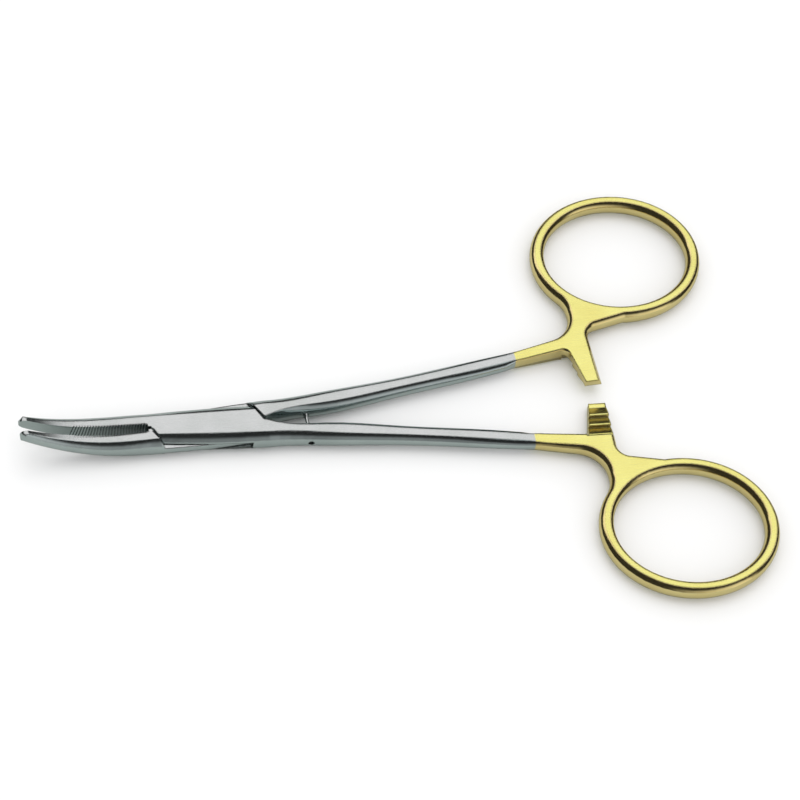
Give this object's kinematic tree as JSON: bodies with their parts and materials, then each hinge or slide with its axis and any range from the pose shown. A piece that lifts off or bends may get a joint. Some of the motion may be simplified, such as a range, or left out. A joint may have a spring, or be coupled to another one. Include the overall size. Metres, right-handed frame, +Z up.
{
  "type": "curved box-lock forceps",
  "caption": "Slender steel forceps with curved serrated jaws, a box lock, a thumb ratchet, gilt finger-ring handles and an eye-clearing needle on one shank.",
  "frame": {"origin": "on the pivot pin's axis, at the underside of the box lock, on which the closed instrument rests", "axes": "+X from the box lock towards the finger rings, +Y towards the ring of the male half, +Z up along the pivot pin, the way the jaws curve"},
  "size_m": [0.1244, 0.0828, 0.0083],
  "materials": {
    "forging": "satin stainless steel, with gold plating on the handles and ratchet arms from 54.5 mm behind the pin",
    "pin": "satin stainless steel, ground flush with the box",
    "needle": "plain bright steel wire"
  },
  "bodies": {
    "female": {"female_half": "forging", "pivot_pin": "pin"},
    "male": {"male_half": "forging", "eye_needle": "needle"}
  },
  "joints": [
    {"name": "box_lock", "type": "hinge", "parent": "female", "child": "male", "pos_m": [0, 0, 0.00215], "axis": [0, 0, 1], "range_deg": [-3.6, 60]}
  ]
}
